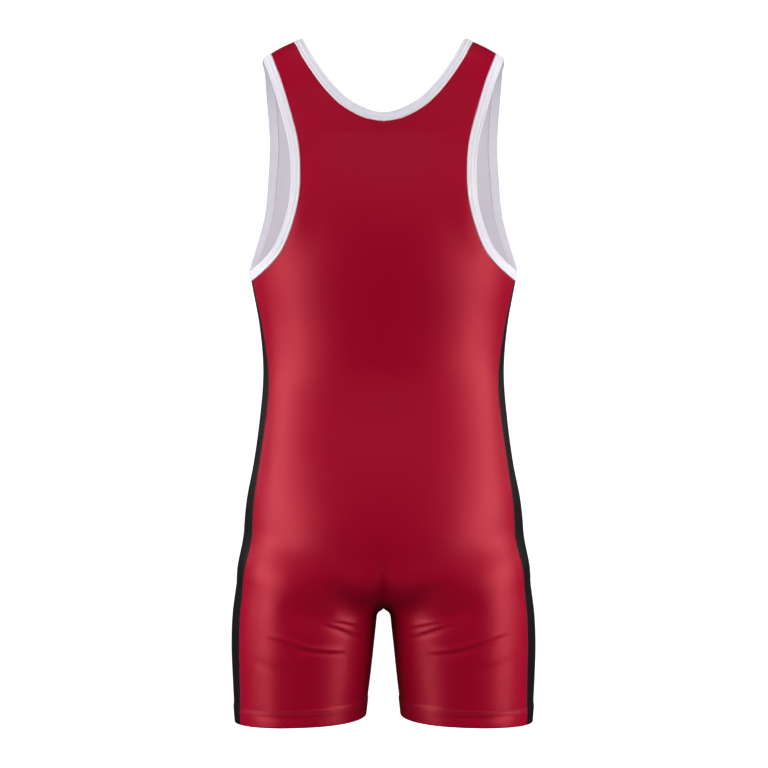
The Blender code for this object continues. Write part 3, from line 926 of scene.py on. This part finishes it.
def knit(name, colour, deep, roughness, tint=(1, 1, 1), scale=1.0, bump=0.18, specular=0.5):
    """A stretch knit: fine wales and courses, slight colour variation and a satin face."""
    material = bpy.data.materials.new(name)
    material.use_nodes = True
    tree = material.node_tree
    shader = tree.nodes["Principled BSDF"]
    shader.inputs["Roughness"].default_value = roughness
    shader.inputs["Metallic"].default_value = 0.0
    shader.inputs["IOR"].default_value = 1.5
    shader.inputs["Specular IOR Level"].default_value = specular
    shader.inputs["Specular Tint"].default_value = (*tint, 1.0)
    shader.inputs["Sheen Weight"].default_value = 0.0
    coords = node(tree, "ShaderNodeTexCoord")
    cloud = node(tree, "ShaderNodeTexNoise")
    cloud.inputs["Scale"].default_value = 9.0
    cloud.inputs["Detail"].default_value = 4.0
    fleck = node(tree, "ShaderNodeTexNoise")
    fleck.inputs["Scale"].default_value = 900.0
    fleck.inputs["Detail"].default_value = 2.0
    blend_in = node(tree, "ShaderNodeMix", data_type="FLOAT")
    blend_in.inputs[0].default_value = 0.3
    mix = node(tree, "ShaderNodeMix", data_type="RGBA")
    mix.inputs[6].default_value = (*deep, 1.0)
    mix.inputs[7].default_value = (*colour, 1.0)
    link = tree.links.new
    link(coords.outputs["Object"], cloud.inputs["Vector"])
    link(coords.outputs["Object"], fleck.inputs["Vector"])
    link(cloud.outputs["Fac"], blend_in.inputs[2])
    link(fleck.outputs["Fac"], blend_in.inputs[3])
    spread = node(tree, "ShaderNodeMapRange")
    spread.inputs["From Min"].default_value = 0.3
    spread.inputs["From Max"].default_value = 0.7
    link(blend_in.outputs[0], spread.inputs["Value"])
    link(spread.outputs["Result"], mix.inputs[0])
    link(mix.outputs[2], shader.inputs["Base Color"])
    wales = node(tree, "ShaderNodeTexWave", wave_type="BANDS", bands_direction="X")
    wales.inputs["Scale"].default_value = 420.0 * scale
    wales.inputs["Distortion"].default_value = 1.2
    wales.inputs["Detail"].default_value = 1.0
    wales.inputs["Detail Scale"].default_value = 2.0
    courses = node(tree, "ShaderNodeTexWave", wave_type="BANDS", bands_direction="Z")
    courses.inputs["Scale"].default_value = 520.0 * scale
    courses.inputs["Distortion"].default_value = 1.5
    courses.inputs["Detail"].default_value = 1.0
    link(coords.outputs["Object"], wales.inputs["Vector"])
    link(coords.outputs["Object"], courses.inputs["Vector"])
    both = node(tree, "ShaderNodeMath", operation="MULTIPLY")
    link(wales.outputs["Fac"], both.inputs[0])
    link(courses.outputs["Fac"], both.inputs[1])
    relief = node(tree, "ShaderNodeBump")
    relief.inputs["Strength"].default_value = bump
    relief.inputs["Distance"].default_value = 0.0003
    link(both.outputs[0], relief.inputs["Height"])
    link(relief.outputs["Normal"], shader.inputs["Normal"])
    return material


def thread(name, colour, roughness=0.5):
    """Sewing thread with a twist along it."""
    material = bpy.data.materials.new(name)
    material.use_nodes = True
    tree = material.node_tree
    shader = tree.nodes["Principled BSDF"]
    shader.inputs["Base Color"].default_value = (*colour, 1.0)
    shader.inputs["Roughness"].default_value = roughness
    shader.inputs["Sheen Weight"].default_value = 0.2
    coords = node(tree, "ShaderNodeTexCoord")
    twist = node(tree, "ShaderNodeTexWave", wave_type="BANDS", bands_direction="DIAGONAL")
    twist.inputs["Scale"].default_value = 900.0
    relief = node(tree, "ShaderNodeBump")
    relief.inputs["Strength"].default_value = 0.3
    relief.inputs["Distance"].default_value = 0.0001
    tree.links.new(coords.outputs["Object"], twist.inputs["Vector"])
    tree.links.new(twist.outputs["Fac"], relief.inputs["Height"])
    tree.links.new(relief.outputs["Normal"], shader.inputs["Normal"])
    return material


SATIN = (1.0, 0.165, 0.19)
red = knit("red_knit", (0.365, 0.0010, 0.0225), (0.345, 0.0008, 0.0205), 0.36, SATIN, specular=1.0)
inside = knit("inner_face", (0.76, 0.72, 0.78), (0.73, 0.69, 0.75), 0.75, specular=0.2)
black = knit("black_knit", (0.010, 0.0075, 0.0085), (0.008, 0.006, 0.007), 0.45, specular=0.17)
white = knit(
    "white_knit", (0.84, 0.815, 0.885), (0.80, 0.775, 0.845), 0.6, scale=0.8, bump=0.3, specular=0.3
)
red_thread = thread("red_thread", (0.15, 0.002, 0.012))
white_thread = thread("white_thread", (0.80, 0.79, 0.86))

# ---------------------------------------------------------------- the garment

nets, neck_half, armhole_edge = layout()
fine_back = fine_panel(nets["back_panel"])
fine_front = fine_panel(nets["front_panel"])

side = nets["side_panel"]
side_fine = joined((
    refined(side[:-2], SIDE_FINE, FINE_ACROSS),
    refined(side[-3:-1], 1, FINE_ACROSS),
    refined(side[-2:], HEM_FINE, FINE_ACROSS),
))
side_edge = side_fine[:, [0, -1]].copy()
side_fine = onto(side_fine, rounds=3).reshape(side_fine.shape)
side_fine[:, [0, -1]] = side_edge

neck_ring = np.vstack([neck_half, mirrored(neck_half)[::-1][1:-1]])
neck_ring = onto(even_ring(neck_ring, NECK_RING_POINTS), rounds=2)
arm_ring = onto(even_ring(armhole_edge, ARM_RING_POINTS), rounds=2)

visible = {}
visible["back_panel"] = shell("cloth_back", [fine_back, mirrored(fine_back)], [red, inside])
visible["front_panel"] = shell("cloth_front", [fine_front, mirrored(fine_front)], [red, inside])
visible["side_panel_right"] = shell("cloth_side_right", [side_fine], [black, inside])
visible["side_panel_left"] = shell("cloth_side_left", [mirrored(side_fine)], [black, inside])

half_gap = SEAM_GAP / 2
visible["neck_binding"] = binding("bind_neck", neck_ring, NECK_BINDING_WIDTH - half_gap, white)
arm_width = ARM_BINDING_WIDTH - half_gap
visible["armhole_binding_right"] = binding("bind_arm_right", arm_ring, arm_width, white)
left = binding("bind_arm_left", mirrored(arm_ring)[::-1], arm_width, white)
visible["armhole_binding_left"] = left

for name, thing in visible.items():
    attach(thing, "root")
    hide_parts(name)

# ---------------------------------------------------------------- seams and stitches

stitches = []


def add_stitches(name, starts, ends, height, radius, material):
    starts, out = on_cloth(starts, height)
    ends, _ = on_cloth(ends, height)
    made = stitch_mesh(name, starts, ends, out, radius, material)
    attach(made, "root")
    stitches.append(made)
    return made


for side_name, flip in (("right", 1.0), ("left", -1.0)):
    turned = np.array([flip, 1, 1])
    for face_name, fine in (("back", fine_back), ("front", fine_front)):
        first = STRAP_ROWS * STRAP_FINE + YOKE_ROWS * YOKE_FINE
        seam = fine[first:, -1]
        inset = fine[first:, -4]
        starts, ends = zigzag(seam * turned, inset * turned, FLATLOCK_PITCH)
        add_stitches(
            f"flatlock_{face_name}_{side_name}", starts, ends, WALL, FLATLOCK_RADIUS,
            red_thread,
        )

for label, ring, width in (
    ("neck", neck_ring, NECK_BINDING_WIDTH),
    ("arm_right", arm_ring, ARM_BINDING_WIDTH),
    ("arm_left", mirrored(arm_ring)[::-1], ARM_BINDING_WIDTH),
):
    starts, ends = [], []
    for place in GROOVE_PLACES:
        line = moved_in(ring, place * (width - half_gap), closed=True)
        a, b = run_of(line, BINDING_PITCH, closed=True)
        starts.append(a)
        ends.append(b)
    add_stitches(
        f"binding_stitch_{label}", np.concatenate(starts), np.concatenate(ends),
        BINDING_STITCH_HEIGHT, BINDING_THREAD, white_thread,
    )

hem_starts, hem_ends = [], []
for fine in (fine_back, fine_front):
    for row in HEM_STITCH_ROWS:
        for turned in (1.0, -1.0):
            a, b = run_of(fine[row] * np.array([turned, 1, 1]), HEM_PITCH)
            hem_starts.append(a)
            hem_ends.append(b)
add_stitches(
    "hem_stitch_body", np.concatenate(hem_starts), np.concatenate(hem_ends),
    HEM_WALL - HEM_STITCH_SINK, HEM_THREAD, red_thread,
)

# ---------------------------------------------------------------- stage, light and camera


def plain(name, colour, emit=0.0):
    material = bpy.data.materials.new(name)
    material.use_nodes = True
    shader = material.node_tree.nodes["Principled BSDF"]
    shader.inputs["Base Color"].default_value = (*colour, 1.0)
    shader.inputs["Roughness"].default_value = 0.9
    shader.inputs["Emission Color"].default_value = (1.0, 1.0, 1.0, 1.0)
    shader.inputs["Emission Strength"].default_value = emit
    return material


# A closed pale room of revolution, in metres: a flat floor, a cove, a wall and a ceiling
FLOOR_Z = -1.30
FLOOR_RADIUS = 4.5
COVE = 1.5
WALL_TOP = 5.5
CEILING = 6.5
AXIS_HOLE = 0.05
ROOM_SIDES = 64
outline = [(AXIS_HOLE, FLOOR_Z), (FLOOR_RADIUS, FLOOR_Z)]
for turn in np.linspace(0, np.pi / 2, 13)[1:]:
    outline.append((FLOOR_RADIUS + COVE * np.sin(turn), FLOOR_Z + COVE - COVE * np.cos(turn)))
outline += [(FLOOR_RADIUS + COVE, WALL_TOP), (AXIS_HOLE, CEILING)]
sweep_points, sweep_faces = [], []
for k in range(ROOM_SIDES):
    turn = 2 * np.pi * k / ROOM_SIDES
    sweep_points += [(r * np.cos(turn), r * np.sin(turn), z) for r, z in outline]
    for i in range(len(outline) - 1):
        here = k * len(outline) + i
        there = (k + 1) % ROOM_SIDES * len(outline) + i
        sweep_faces.append((here, there, there + 1, here + 1))
mesh = bpy.data.meshes.new("floor")
mesh.from_pydata(sweep_points, [], sweep_faces)
mesh.materials.append(plain("floor_white", (0.8, 0.8, 0.8), 1.1))
mesh.shade_smooth()
floor = bpy.data.objects.new("floor", mesh)
floor.visible_diffuse = False
floor.visible_glossy = False
floor.visible_shadow = False
bpy.context.scene.collection.objects.link(floor)

AIM = Vector((0.0, 0.0, -0.30))


def soft_light(name, place, size, power, shine):
    """Hang an area light that faces the garment; one without shine lights it but leaves no glint."""
    light = bpy.data.lights.new(name, "AREA")
    light.shape = "RECTANGLE"
    light.size, light.size_y = size
    light.energy = power
    lamp = bpy.data.objects.new(name, light)
    lamp.location = place
    lamp.rotation_euler = (AIM - Vector(place)).to_track_quat("-Z", "Z").to_euler()
    lamp.visible_glossy = shine
    bpy.context.scene.collection.objects.link(lamp)
    return lamp


# Lights in metres and watts; the first four stand on both sides
LIGHT_COLUMNS = ("name", "place", "size", "power", "shine")
SIDE_LIGHTS = (
    ("box", (2.33, -0.92, -0.30), (1.2, 2.2), 35, True),
    ("low", (2.15, -1.25, -1.25), (0.9, 0.6), 7, True),
    ("fill", (2.5, 0.0, 0.2), (0.6, 1.6), 32, False),
    ("rim", (2.05, 1.43, 0.3), (0.5, 1.2), 3.5, True),
)
MIDDLE_LIGHTS = (
    ("fill_back", (0.0, -2.2, 1.25), (2.4, 1.4), 31, False),
    ("fill_low", (0.0, -1.0, -2.2), (2.0, 0.8), 3, False),
    ("fill_front", (0.0, 2.4, 0.6), (1.4, 1.2), 60, False),
    ("top", (0.0, 0.1, 2.0), (1.2, 1.2), 10, True),
)
for side_name, flip in (("left", -1.0), ("right", 1.0)):
    for values in SIDE_LIGHTS:
        lamp = dict(zip(LIGHT_COLUMNS, values))
        x, y, z = lamp["place"]
        lamp.update(name=lamp["name"] + "_" + side_name, place=(x * flip, y, z))
        soft_light(**lamp)
for values in MIDDLE_LIGHTS:
    soft_light(**dict(zip(LIGHT_COLUMNS, values)))

world = bpy.data.worlds.new("studio")
world.use_nodes = True
world.node_tree.nodes["Background"].inputs["Color"].default_value = (1.0, 1.0, 1.0, 1.0)
world.node_tree.nodes["Background"].inputs["Strength"].default_value = 0.01
bpy.context.scene.world = world
bpy.context.scene.view_settings.view_transform = "Standard"

SENSOR = 36.0  # millimetres
LENS = 96.5625
VIEWPOINT = (0.0006, -2.5, -0.4152)
camera = bpy.data.cameras.new("camera")
camera.sensor_width = SENSOR
camera.lens = LENS
viewer = bpy.data.objects.new("camera", camera)
viewer.location = VIEWPOINT
viewer.rotation_euler = (np.pi / 2, 0.0, 0.0)
bpy.context.scene.collection.objects.link(viewer)
bpy.context.scene.camera = viewer
